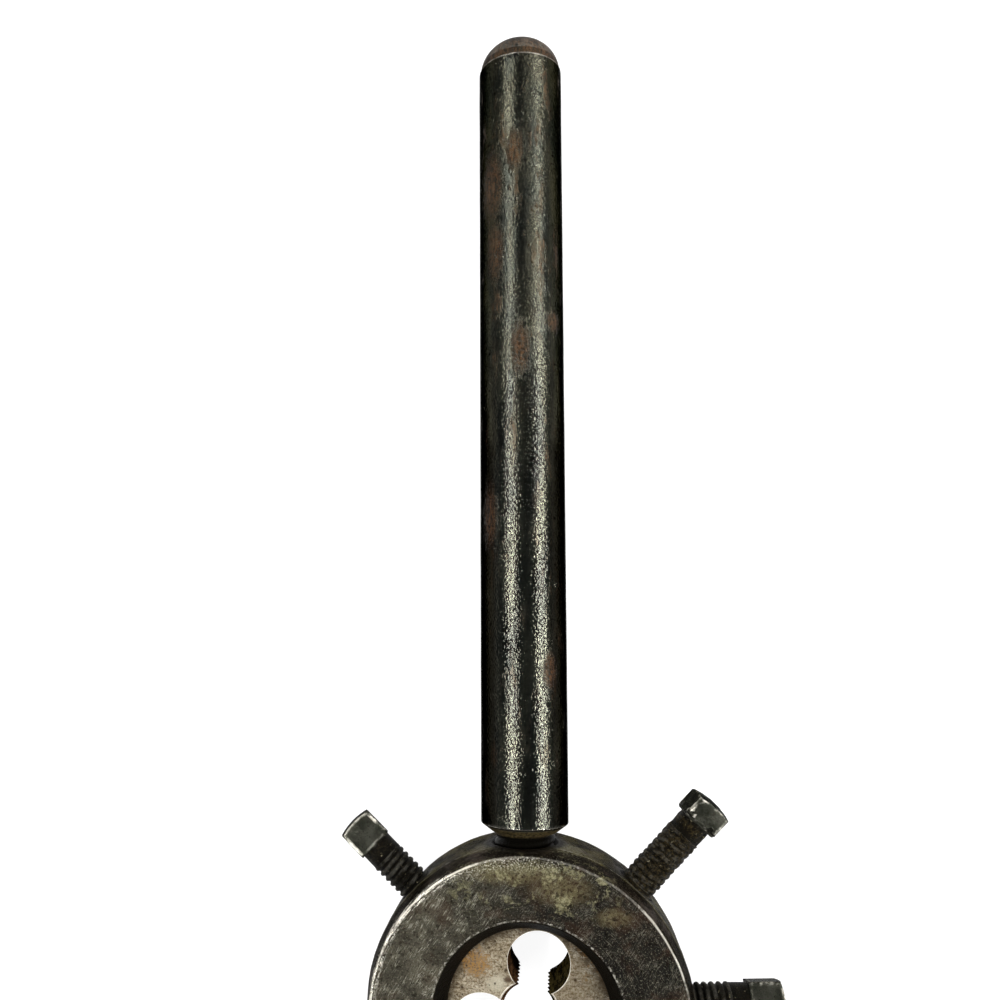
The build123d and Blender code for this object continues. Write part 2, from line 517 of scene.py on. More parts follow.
def makeHandle(name, angle, body, node, material):
    end = rod["root"] + rod["length"]
    domeStart = end - rod["domeHeight"]
    points = [(0, end)]
    for k in range(1, rod["domeSteps"]):
        t = k / rod["domeSteps"] * pi / 2
        points.append((rod["domeEdge"] * sin(t), domeStart + rod["domeHeight"] * cos(t)))
    # the dome stands in a little from the rod, which has a sharp chamfer at its root
    radius, chamferEnd = rod["radius"], rod["root"] + rod["chamferHeight"]
    side = [(rod["domeEdge"], domeStart, 0), (radius - 0.02, domeStart - 0.06, 0.03),
            (radius, domeStart - 0.5, 0), (radius, chamferEnd, 0.14),
            (radius - rod["chamfer"], rod["root"], 0.25), (rod["innerEdge"], rod["root"], 0)]
    points += easedPoints(side, longest=rod["ringGap"]) + [(0, rod["root"])]
    handle = drawProfile(name, points)
    spinProfile(handle, rod["segments"])
    stub = threadedRod("stub", rod["stubRoot"], rod["stubCrest"], rod["stubPitch"], rod["stubEnd"],
                       rod["root"] + 1, rod["stubSegments"])
    for vert in stub.data.vertices:  # the first thread starts on a small taper
        widest = rod["stubCrest"] - rod["stubTaper"] + max(0, vert.co.z - rod["stubEnd"])
        setReach(vert, min(hypot(vert.co.x, vert.co.y), widest))
    combine(handle, stub, "UNION")
    for strength, size in rod["lumps"]:
        roughen(handle, strength, size)
    # marks the chamfer and the stub: grime on the chamfer, painted shadow on the stub
    markPoints(handle, "soilAndShade", [float(v.co.z < chamferEnd - 0.12) for v in handle.data.vertices])
    finishPiece(handle, material, along(angle, rod["aside"]), body, node, rod["smoothAngle"])


# collar: a cast ring, turned all over, with holes for the handles and screws
ring = {
    "outer": 29.0, "front": 8.75, "back": -8.75, "frontOuter": 27.9, "taper": 4.5, "seat": 16.72,
    "lip": 14.35, "mouth": 16.7, "lipThickness": 4.5, "segments": 360, "ringGap": 0.55,
    "screwHoleSegments": 48, "stubHoleSegments": 64, "smoothAngle": 40,
    "screwHole": 3.24, "screwHoleStart": 12, "screwSink": 0.55, "crustAngle": 47.7, "crustHole": 3.47,
    "stubHole": 5.56, "stubSink": 6.7, "handleDepth": 11.0, "handleAngles": [90, 270],
    "screwAngles": [3.5, 47.7, -40.7, 136.3, -129.3],
    "castTop": 8.2, "castInside": 17.2, "lumps": [(0.16, 6.0), (0.07, 1.5)],
    "rimEdge": (27.8, 8.75), "rimReach": 0.9, "rimChips": (-0.18, 2.6, 0.0, 3.0),
    # the last tone on the next line is the colour of the rim's painted highlights
    "bump": 0.0002, "tint": tone(70, 70, 66), "bareAndHighlight": tone(225, 220, 206),
    # the face tones on the next two lines are the lighter left and the darker right of the painted light
    # and shade
    "leftTones": (tone(56, 54, 46), tone(86, 82, 70)),
    "rightTones": (tone(22, 22, 20), tone(34, 32, 28)),
    "wallTones": (tone(44, 40, 30), tone(104, 98, 66)),
    "taperTones": (tone(26, 22, 18), tone(58, 52, 42)),
    # on the next line the lip tones are near black for grease and painted shade, and the last tone is
    # painted shadow for the holes
    "lipTones": (tone(6, 5, 4), tone(20, 17, 12)), "holeShadow": tone(10, 8, 6),
    "grimeSpots": [((-2, 25.0, 8.7), (12, 2.6, 3)), ((6, 22.5, 8.7), (7, 3.5, 3)),
                   ((15, 18, 8.7), (4, 2, 3)), ((0, 28.5, 2), (16, 3, 5))],
    # the patches on the next lines set where the rim's painted highlights are strongest
    "highlightSpots": [((-19, 20, 8), (14, 12, 4)), ((-27, 3, 8), (4, 13, 4)), ((23, 15, 8), (8, 12, 4)),
             ((10, -26, 8), (16, 6, 4))],
}


def turnedCutter(points, segments, place):
    cutter = drawProfile("cutter", points)
    spinProfile(cutter, segments)
    cutter.data.transform(place)
    return cutter


def holeCutter(r, start, sink, segments, place):
    # a drill for a radial hole, with a countersink
    outer = ring["outer"]
    return turnedCutter([(0, start), (r, start), (r, outer - sink), (r + sink + 2, outer + 2),
                         (0, outer + 2)], segments, place)


def makeCollar(material):
    seat, outer, back, front = ring["seat"], ring["outer"], ring["back"], ring["front"]
    lipBack = front - ring["lipThickness"]
    # corners: radius, height and how much each is rounded
    corners = [(seat, back + 0.3, 0), (seat + 0.5, back, 0.3), (outer, back, 0.6),
               (outer, front - ring["taper"], 0.7), (ring["frontOuter"], front, 0.42),
               (ring["mouth"], front, 0.38), (ring["lip"], lipBack, 0.25), (seat, lipBack, 0)]
    profile = drawProfile("castCollar", easedPoints(corners, True, ring["ringGap"], 4))
    spinProfile(profile, ring["segments"])
    cutters = []
    for angle in ring["screwAngles"]:
        # the crusted screw still has room to go in
        r = ring["crustHole"] if angle == ring["crustAngle"] else ring["screwHole"]
        cutters.append(holeCutter(r, ring["screwHoleStart"], ring["screwSink"],
                                  ring["screwHoleSegments"], along(angle)))
    for angle in ring["handleAngles"]:
        r = ring["stubHole"]
        cutters.append(holeCutter(r, outer - ring["handleDepth"], ring["stubSink"] - r,
                                  ring["stubHoleSegments"], along(angle, rod["aside"])))
    combine(profile, joinPieces(cutters), "DIFFERENCE")
    # rough all over but in the mouth, and less so on the front face; the front rim is chipped
    top, inside = ring["castTop"], ring["castInside"]
    weigh(profile, "cast", lambda p: 0.0 if hypot(p.x, p.y) <= inside else (1.0 if p.z < top else 0.35))
    for strength, size in ring["lumps"]:
        roughen(profile, strength, size, group="cast")
    rimR, rimZ = ring["rimEdge"]
    weigh(profile, "rim",
          lambda p: max(0.0, 1 - hypot(hypot(p.x, p.y) - rimR, p.z - rimZ) / ring["rimReach"]))
    roughen(profile, *ring["rimChips"], "rim")
    # painted shadow, near black, in and round each hole
    holes = [(angle, ring["screwHole"], 0.0) for angle in ring["screwAngles"]]
    holes += [(angle, ring["stubSink"] - 0.4, rod["aside"]) for angle in ring["handleAngles"]]
    shadowMarks = []
    for vert in profile.data.vertices:
        shadowHere = 0.0
        for angle, size, aside in holes:
            local = along(angle, aside).inverted() @ vert.co
            if local.z > 0:
                shadowHere = max(shadowHere, min(1.0, 1.6 - (hypot(local.x, local.y) - size) / 1.1))
        shadowMarks.append(shadowHere if hypot(vert.co.x, vert.co.y) > 16.8 and vert.co.z < top else 0.0)
    markPoints(profile, "soilAndShade", shadowMarks)
    finishPiece(profile, material, Matrix.Identity(4), "stock", "collar", ring["smoothAngle"])


def makeCollarIron():
    material, tree, shader = newSteel("castCollarSteel", 0.85, ring["tint"])
    place = millimetres(tree)
    x, y, z = axes(place)
    reach = distance(x, y)
    onFace = span(z, 8.35, 8.62)
    inLip = minus(1.0, span(reach, 16.62, 16.8))
    broad = cloud(place, 0.17, 4.0, 0.6)
    fine = cloud(place, 1.5, 4.0, 0.75)
    grain = cloud(place, 3.2, 2.0, 0.75)
    # marks that follow the turning, long along the ring and narrow across it
    turned = fromAxes(times(reach, 3.8), times(x, 0.3), plus(times(y, 0.3), times(z, 1.4)))
    rings = cloud(turned, 1.0, 3.0, 0.7)
    # painted light and shade: the face is lighter on the left of the upper handle and darker on its
    # right
    side = span(plus(x, times(broad, 16.0)), -14.0, 12.0)
    mottled = span(broad, 0.35, 0.66)
    faceTone = mixTones(side, mixTones(mottled, *ring["leftTones"]),
                        mixTones(mottled, *ring["rightTones"]))
    wallTone = mixTones(span(broad, 0.38, 0.6), *ring["wallTones"])
    taperTone = mixTones(span(fine, 0.4, 0.65), *ring["taperTones"])
    wallTone = mixTones(span(z, 4.6, 5.2), wallTone, taperTone)
    colour = mixTones(onFace, wallTone, faceTone)
    colour = mixTones(span(fine, 0.46, 0.64, 0.0, 0.75), colour, tone(22, 19, 14))
    colour = mixTones(span(grain, 0.56, 0.7, 0.0, 0.55), colour, tone(126, 121, 104))
    colour = mixTones(span(rings, 0.56, 0.7, 0.0, 0.3), colour, tone(120, 115, 100))
    # grime and pale spots by the upper handle
    topGrime = most([use(patch, Place=place, Centre=centre, Reach=reachOf, Ragged=fine)
                     for centre, reachOf in ring["grimeSpots"]])
    grimeTone = mixTones(span(fine, 0.36, 0.58), tone(40, 30, 22), tone(100, 92, 66))
    grimeTone = mixTones(span(y, 24.2, 25.8, 0.0, 0.7), grimeTone,
                         mixTones(span(grain, 0.4, 0.6), tone(64, 60, 40), tone(150, 146, 116)))
    colour = mixTones(times(topGrime, 0.7), colour, grimeTone)
    nearTop = use(patch, Place=place, Centre=(4, 23, 8.7), Reach=(16, 7, 4), Ragged=broad)
    pale = times(use(blotches, Place=place, Size=1.9, Cover=0.36, Soft=0.035), nearTop)
    colour = mixTones(times(pale, 0.62), colour,
                      mixTones(span(fine, 0.4, 0.6), tone(84, 80, 58), tone(146, 142, 108)))
    brown = use(blotches, Place=place, Size=5.0, Cover=0.36, Soft=0.12)
    colour = mixTones(times(brown, 0.45), colour, tone(50, 34, 24))
    hole = use(pits, Place=place, Size=1.2, Share=0.4)
    colour = mixTones(times(hole, 0.7), colour, tone(10, 8, 6))
    lines = most([use(scratches, Place=place, Turn=turn, Length=length, Gap=gap, Thin=0.035, Cover=cover)
                  for turn, length, gap, cover in [(-1.0, 4, 0.26, 0.6), (-0.45, 3, 0.3, 0.4)]])
    # painted light: the bright scratches show strongly on the lighter left and fade on the right
    lines = times(lines, times(onFace, span(side, 0.0, 1.0, 0.9, 0.2)))
    lines = times(lines, span(fine, 0.36, 0.56))
    colour = mixTones(lines, colour, tone(172, 168, 150))
    # painted highlights: a thin bright line along the front rim, stronger on the left, and streaks
    # beside it; thin bright lines at the mouth and on the taper's edge, and bright specks near the top
    # of the rim
    offRim = distance(minus(reach, 27.72), minus(z, 8.68))
    highlightSpots = most([use(patch, Place=place, Centre=centre, Reach=reachOf, Ragged=broad)
                 for centre, reachOf in ring["highlightSpots"]])
    rimHighlight = times(minus(1.0, span(offRim, 0.1, 0.3)),
                    span(plus(fine, times(highlightSpots, 0.3)), 0.5, 0.72, 0.15, 1.0))
    leftHighlight = span(x, -6.0, -14.0)
    rimHighlight = times(rimHighlight, span(plus(x, times(broad, 20.0)), 2.0, 16.0, 1.0, 0.45))
    rimBandHighlight = times(span(reach, 26.5, 27.2), span(z, 7.4, 8.2))
    rimBandHighlight = times(times(rimBandHighlight, times(highlightSpots, leftHighlight)),
                    span(plus(rings, times(grain, 0.5)), 0.76, 0.88))
    mouthHighlight = span(calc("ABSOLUTE", minus(reach, 17.0)), 0.22, 0.08)
    mouthHighlight = times(times(mouthHighlight, onFace), span(fine, 0.45, 0.65, 0.0, 0.55))
    topHighlightSpeckle = times(times(span(reach, 25.2, 27.2), onFace),
                       times(span(y, 21.0, 25.5), span(grain, 0.54, 0.66, 0.0, 0.5)))
    topHighlightSpeckle = times(topHighlightSpeckle, span(plus(x, times(fine, 8.0)), 14.0, 4.0))
    taperHighlight = times(span(calc("ABSOLUTE", minus(z, 4.3)), 0.22, 0.06), span(fine, 0.4, 0.6, 0.0, 0.4))
    taperHighlight = times(taperHighlight, span(reach, 28.4, 28.7))
    # all of these painted highlights are mixed in as one near-white tone, and made a little smoother
    bareAndHighlight = most([times(rimHighlight, 0.95), rimBandHighlight, mouthHighlight, topHighlightSpeckle, taperHighlight])
    colour = mixTones(bareAndHighlight, colour, ring["bareAndHighlight"])
    # the lip's inner wall is near black: grease, and painted shade
    colour = mixTones(times(inLip, 0.97), colour, mixTones(span(fine, 0.4, 0.66), *ring["lipTones"]))
    # painted shadow, near black, in and round the holes
    soilAndShade = attribute(tree, "soilAndShade")
    colour = mixTones(times(soilAndShade, 0.95), colour, ring["holeShadow"])
    # grime, and the painted shade of the lip and holes, make the surface rougher and less metallic
    dirtAndShade = most([times(topGrime, 0.7), times(brown, 0.6), inLip, soilAndShade])
    rough = plus(span(fine, 0.3, 0.7, 0.3, 0.44), times(dirtAndShade, 0.25))
    rough = minus(rough, times(bareAndHighlight, 0.1))
    height = plus(times(fine, 0.9), times(grain, 0.45))
    height = plus(height, times(rings, 0.3))
    height = minus(height, times(hole, 0.4))
    height = minus(height, times(lines, 0.2))
    finishShader(shader, colour, span(dirtAndShade, 0.0, 1.0, 0.9, 0.1), rough, height, ring["bump"])
    return material


# die: a ground disc with chip flutes, a threaded bore, a split and screw dimples
disc = {
    "radius": 16.67, "front": 4.25, "back": -8.45, "edge": 0.4, "segments": 168, "soften": 0.09,
    "bore": 4.58, "threadRoot": 5.02, "pitch": 1.814, "leadIn": 5.4, "boreSegments": 96,
    "flute": 5.55, "fluteCircle": 8.65, "fluteAngles": [77.4, 197.4, 317.4],
    "split": 1.2, "splitLength": 14, "splitAngle": 317.4, "past": 2, "faceMargin": 0.16,
    "dimpleEnd": 15.32, "dimplePoint": 0.9, "dimpleDepth": 2.3, "dimpleSegments": 32,
    # the next line bounds the walls that take the dark finish of dirt and painted shade
    "darkWallFrom": -8.3, "darkWallTo": 4.12, "darkWallReach": 5.6, "smoothAngle": 30,
    "bump": 0.00014, "darkWallBump": 0.00012, "tint": tone(150, 150, 146),
    # the left and right tones are the lighter left and the painted-shade right of the die
    "leftTones": (tone(142, 131, 110), tone(162, 153, 133)), "bareAndHighlight": tone(236, 230, 216),
    "rightTones": (tone(118, 108, 90), tone(146, 137, 118)), "crust": tone(40, 31, 20),
    "rustTones": (tone(58, 40, 20), tone(148, 108, 54)),
    # the tones on the next line are dirt and painted shade for those walls
    "redDirtAndShade": (tone(26, 16, 9), tone(68, 46, 29)), "oliveDirtAndShade": (tone(14, 12, 6), tone(64, 56, 30)),
}


def makeDie(material, dirtAndShade):
    front, back, past = disc["front"], disc["back"], disc["past"]
    middle, thick = (front + back) / 2, front - back
    through = thick + 2 * past  # the cutters stand past both faces
    backToObjects()
    bpy.ops.mesh.primitive_cylinder_add(vertices=disc["segments"], radius=disc["radius"], depth=thick,
                                        location=(0, 0, middle))
    bpy.ops.object.transform_apply()
    die = bpy.context.object
    die.name = "threadingDie"
    editAll(die)
    grid = bmesh.from_edit_mesh(die.data)
    for edge in grid.edges:
        edge.select = abs(edge.verts[0].co.z - edge.verts[1].co.z) < 0.01
    bmesh.update_edit_mesh(die.data)
    bpy.ops.mesh.bevel(offset=disc["edge"], segments=3)
    cutters = []
    for angle in disc["fluteAngles"]:
        backToObjects()
        place = along(angle) @ Vector((middle, 0, disc["fluteCircle"]))
        bpy.ops.mesh.primitive_cylinder_add(vertices=disc["boreSegments"], radius=disc["flute"],
                                            depth=through, location=place)
        bpy.ops.object.transform_apply()
        cutters.append(bpy.context.object)
    combine(die, joinPieces(cutters), "DIFFERENCE")
    # the split runs from the third flute to the rim
    backToObjects()
    reach = disc["fluteCircle"] + disc["splitLength"] / 2
    bpy.ops.mesh.primitive_cube_add(size=1, location=(reach, 0, middle))
    slot = bpy.context.object
    bpy.ops.transform.resize(value=(disc["splitLength"], disc["split"], through))
    bpy.ops.object.transform_apply()
    slot.data.transform(Matrix.Rotation(radians(disc["splitAngle"]), 4, "Z"))
    combine(die, slot, "DIFFERENCE")
    narrow, wide = disc["bore"], disc["leadIn"] + past
    lead = disc["leadIn"] - narrow
    bore = turnedCutter([(0, back - past), (wide, back - past), (narrow, back + lead),
                         (narrow, front - lead), (wide, front + past), (0, front + past)],
                        disc["boreSegments"], Matrix.Identity(4))
    combine(die, bore, "DIFFERENCE")
    soften = die.modifiers.new("soften", "BEVEL")
    soften.limit_method = "ANGLE"
    soften.angle_limit = radians(60)
    soften.width = disc["soften"]
    soften.segments = 2
    applyModifier(die, "soften")
    cleanShell(die)
    tap = threadedRod("tap", narrow - 0.02, disc["threadRoot"], disc["pitch"], back - past,
                      front + past, disc["boreSegments"])
    combine(die, tap, "DIFFERENCE")
    cones = []
    start, point, deep = disc["dimpleEnd"], disc["dimplePoint"], disc["dimpleDepth"]
    for angle in ring["screwAngles"]:
        cones.append(turnedCutter([(0, start), (point, start), (point + deep, start + deep),
                                   (0, start + deep)], disc["dimpleSegments"], along(angle)))
    combine(die, joinPieces(cones), "DIFFERENCE")
    # a margin inside the ground faces, so that wear stays at their edges
    editAll(die)
    bpy.ops.mesh.select_all(action="DESELECT")
    grid = bmesh.from_edit_mesh(die.data)
    for face in grid.faces:
        face.select = abs(face.normal.z) > 0.99 and face.calc_area() > 20
    bmesh.update_edit_mesh(die.data)
    bpy.ops.mesh.inset(thickness=disc["faceMargin"])
    cleanShell(die)
    finishPiece(die, material, Matrix.Identity(4), "stock", "die", disc["smoothAngle"])
    die.data.materials.append(dirtAndShade)
    for face in die.data.polygons:  # walls of the flutes, bore and split, which take the dark finish of dirt and painted shade
        x, y, z = face.center * 1000
        away = hypot(x, y)
        wall = abs(face.normal.z) < 0.6 and away < disc["radius"] - 0.15
        if disc["darkWallFrom"] < z < disc["darkWallTo"] and (wall or away < disc["darkWallReach"]):
            face.material_index = 1


def makeDieSteel():
    material, tree, shader = newSteel("groundDieSteel", 0.45, disc["tint"])
    place = millimetres(tree)
    x, y, _ = axes(place)
    broad = cloud(place, 0.3, 3.0, 0.6)
    fine = cloud(place, 2.6, 3.0, 0.75)
    coarse = cloud(place, 1.1, 3.0, 0.7)
    lay = cloud(stretch(place, (0.7, 3.2, 1), (0, 0, 0.5)), 1.0, 3.0, 0.7)
    mottled = span(broad, 0.35, 0.65)
    lightTone = mixTones(mottled, *disc["leftTones"])
    darkTone = mixTones(mottled, *disc["rightTones"])
    # painted shade: the die is lighter on the left and darker towards its right
    colour = mixTones(span(plus(x, times(coarse, 4.0)), 2.0, 10.0), lightTone, darkTone)
    colour = mixTones(span(fine, 0.46, 0.58, 0.0, 0.8), colour, tone(88, 74, 52))
    colour = mixTones(span(lay, 0.5, 0.64, 0.0, 0.6), colour, tone(66, 52, 35))
    colour = mixTones(span(coarse, 0.6, 0.7, 0.0, 0.6), colour, tone(70, 55, 38))
    # brown dirt has gathered under the collar's lip
    crust = span(plus(distance(x, y), times(coarse, 3.0)), 13.6, 16.2)
    colour = mixTones(times(crust, 0.85), colour, disc["crust"])
    rust = most([use(patch, Place=place, Centre=(-9.2, 8.0, 4.2), Reach=(3.2, 3.0, 3), Ragged=coarse),
                 times(use(blotches, Place=place, Size=3.0, Cover=0.26, Soft=0.08), 0.5)])
    rustTone = mixTones(span(fine, 0.4, 0.6), *disc["rustTones"])
    colour = mixTones(times(rust, 0.68), colour, rustTone)
    lines = most([use(scratches, Place=place, Turn=turn, Length=3.0, Gap=0.3, Thin=0.035, Cover=0.45)
                  for turn in (0.7, -0.1)])
    colour = mixTones(times(lines, 0.5), colour, tone(206, 198, 180))
    # the left land's tip is worn smooth, with brown specks beside it
    worn = use(patch, Place=place, Centre=(-5.4, 4.6, 4.2), Reach=(2.4, 2.0, 3), Ragged=broad)
    colour = mixTones(times(worn, 0.6), colour, tone(176, 170, 150))
    speck = use(patch, Place=place, Centre=(-3.6, 5.4, 4.2), Reach=(1.0, 0.7, 3), Ragged=fine)
    colour = mixTones(times(speck, 0.85), colour, tone(62, 44, 32))
    hole = use(pits, Place=place, Size=1.0, Share=0.35)
    colour = mixTones(times(hole, 0.8), colour, tone(40, 28, 16))
    bareAndHighlight = use(rubbed, Edge=attribute(tree, "edge"), Place=place, Size=1.0, Amount=0.5)
    colour = mixTones(times(bareAndHighlight, 0.85), colour, disc["bareAndHighlight"])
    stain = most([rust, crust])
    rough = plus(span(fine, 0.3, 0.7, 0.34, 0.46), times(stain, 0.2))
    height = plus(times(fine, 0.7), times(coarse, 0.7))
    height = minus(height, times(hole, 0.5))
    height = minus(height, times(lines, 0.15))
    finishShader(shader, colour, span(stain, 0.0, 1.0, 0.5, 0.1), rough, height, disc["bump"])
    return material


def makeFluteDirtAndShade():
    # dirt and painted shade: dark red-brown and olive walls with no sheen, but for a bright worn top
    # edge
    material, tree, shader = newSteel("fluteDirtAndShade", 0.0, tone(255, 255, 255))
    shader.inputs["Specular IOR Level"].default_value = 0.0
    place = millimetres(tree)
    x, _, z = axes(place)
    drips = cloud(stretch(place, (1.4, 1.4, 0.35)), 1.0, 4.0, 0.7)
    fine = cloud(place, 2.6, 3.0, 0.7)
    red = mixTones(span(drips, 0.36, 0.64), *disc["redDirtAndShade"])
    olive = mixTones(span(drips, 0.4, 0.64), *disc["oliveDirtAndShade"])
    colour = mixTones(span(x, -1.5, 1.0), red, olive)
    colour = mixTones(span(fine, 0.55, 0.7, 0.0, 0.5), colour, tone(104, 90, 58))
    bareAndHighlight = times(span(z, 3.98, 4.12), span(fine, 0.35, 0.5, 0.3, 0.9))
    colour = mixTones(bareAndHighlight, colour, tone(222, 214, 198))
    rough = span(fine, 0.3, 0.7, 0.55, 0.8)
    finishShader(shader, colour, times(bareAndHighlight, 0.7), rough, plus(fine, drips), disc["darkWallBump"])
    return material


# set screws: square heads with domed ends on threaded shanks with cone points
setScrew = {
    "tight": 15.67, "shank": 22.9, "neck": 3.2, "neckRadius": 3.0,
    "neckSteps": [0.2, 0.6, 1.2, 1.2, 0.4], "point": 0.9, "outside": 29.6,
    "pitch": 1.27, "crest": 3.15, "root": 2.72, "segments": 56,
    "width": 6.5, "corner": 0.4, "dome": 0.95, "domeReach": 1.42, "rim": 0.16, "base": 0.3,
    "apex": 0.1, "grid": 16, "neckShare": 0.62, "smoothAngle": 40,
    "lump": 0.06, "crust": 0.42, "crustSize": 0.9, "bump": 0.00014, "tint": tone(90, 90, 86),
    "headTones": (tone(48, 49, 42), tone(70, 70, 62)), "soilTones": (tone(28, 24, 16), tone(50, 42, 24)),
    "blackDirt": tone(5, 4, 3), "flecks": tone(158, 150, 122), "bareAndHighlight": tone(214, 210, 196),
}
# name: node and body, angle, how far backed out, turn of the head, height of the head, grime
screws = {
    "centreSetScrew": ("centre_screw", 3.5, 0.0, -14.0, 6.0, 0.35),
    "upperClosingSetScrew": ("upper_closing_screw", 47.7, 5.9, 9.0, 4.8, 1.0),
    "lowerClosingSetScrew": ("lower_closing_screw", -40.7, 0.0, -20.0, 6.0, 0.5),
    "upperLockingSetScrew": ("upper_locking_screw", 136.3, 0.8, 14.1, 6.0, 0.5),
    "lowerLockingSetScrew": ("lower_locking_screw", -129.3, 0.0, 30.0, 6.0, 0.5),
}


def makeHead(name, base, height, turn):
    half = setScrew["width"] / 2
    rim, corner = setScrew["rim"], setScrew["corner"]
    height += setScrew["apex"]
    top = base + height
    backToObjects()
    bpy.ops.mesh.primitive_grid_add(x_subdivisions=setScrew["grid"], y_subdivisions=setScrew["grid"],
                                    size=2 * (half - rim))
    head = bpy.context.object
    head.name = name
    inner = half - rim - corner
    diagonal = half * setScrew["domeReach"]
    sphere = (diagonal ** 2 + setScrew["dome"] ** 2) / (2 * setScrew["dome"])
    for vert in head.data.vertices:
        dx, dy = abs(vert.co.x) - inner, abs(vert.co.y) - inner
        if dx > 0 and dy > 0:  # rounds the corner
            shrink = max(dx, dy) / hypot(dx, dy)
            vert.co.x = (inner + dx * shrink) * (1 if vert.co.x > 0 else -1)
            vert.co.y = (inner + dy * shrink) * (1 if vert.co.y > 0 else -1)
        vert.co.z = top - (vert.co.x ** 2 + vert.co.y ** 2) / (2 * sphere)
    editAll(head)
    bpy.ops.mesh.select_all(action="DESELECT")
    bpy.ops.mesh.select_non_manifold()
    size = half - rim
    steps = []  # how far in from the side, and how far down, for each ring in turn
    for k in (1, 2, 3):
        t = k * pi / 6
        steps.append((half - rim + rim * sin(t), rim * (1 - cos(t))))
    down = rim
    sideEnd = height - setScrew["base"] - 0.35
    while down < sideEnd:
        down += (sideEnd - rim) / 8
        steps.append((half, down))
    steps += [(half - 0.1, height - 0.5 * setScrew["base"] - 0.12), (half - setScrew["base"], height)]
    past = 0.0
    for number, (reach, depth) in enumerate(steps):
        bpy.ops.mesh.extrude_region_move(TRANSFORM_OT_translate={"value": (0, 0, past - depth)})
        factor = reach / size
        bpy.ops.transform.resize(value=(factor, factor, 1), center_override=(0, 0, 0))
        if number >= len(steps) - 3:
            bpy.ops.transform.resize(value=(1, 1, 0), center_override=(0, 0, top - depth))
        size, past = reach, depth
    # the neck grows out of the underside
    bpy.ops.mesh.extrude_region_move(TRANSFORM_OT_translate={"value": (0, 0, 0)})
    share = setScrew["neckShare"]
    bpy.ops.transform.resize(value=(share, share, 1), center_override=(0, 0, 0))
    bpy.ops.transform.tosphere(value=1.0, center_override=(0, 0, base))
    grid = bmesh.from_edit_mesh(head.data)
    for vert in [v for v in grid.verts if v.select]:
        setReach(vert, setScrew["neckRadius"])
    bmesh.update_edit_mesh(head.data)
    for part in setScrew["neckSteps"]:
        bpy.ops.mesh.extrude_region_move(TRANSFORM_OT_translate={"value": (0, 0, -part)})
    bpy.ops.mesh.edge_face_add()
    cleanShell(head)
    head.data.transform(Matrix.Rotation(radians(turn), 4, "Z"))
    return head


def makeScrew(name, node, angle, backedOut, turn, height, grimeAndShade, material):
    start = setScrew["tight"] + backedOut
    base = start + setScrew["shank"]
    neckStart = base - setScrew["neck"]
    root = setScrew["root"] + 0.5 * max(0.0, grimeAndShade - 0.5)  # grime fills the threads
    screw = threadedRod(name, root, setScrew["crest"], setScrew["pitch"], start, neckStart + 0.15,
                        setScrew["segments"])
    for vert in screw.data.vertices:
        reach = hypot(vert.co.x, vert.co.y)
        if reach < 0.01:
            continue
        # a cone at the point, and threads that run out into the neck
        widest = min(setScrew["crest"], setScrew["point"] + vert.co.z - start)
        fade = min(1, max(0, (vert.co.z - neckStart + 1.0) / 0.9))
        least = min(widest, root + fade * (setScrew["neckRadius"] - 0.03 - root))
        setReach(vert, min(max(reach, least), widest))
    cleanShell(screw)
    combine(screw, makeHead("head", base, height, turn), "UNION")
    weigh(screw, "outside",
          lambda p: (1.0 if p.z < base - 0.3 else 0.35) if p.z > setScrew["outside"] else 0.0)
    roughen(screw, setScrew["lump"] + setScrew["crust"] * grimeAndShade ** 2, setScrew["crustSize"],
            group="outside")
    markPoints(screw, "soilAndShade", [(0.6 + 0.4 * grimeAndShade) * min(1, max(0, (base + 0.6 - v.co.z) / 1.2))
                               for v in screw.data.vertices])
    finishPiece(screw, material, along(angle), node, node, setScrew["smoothAngle"])


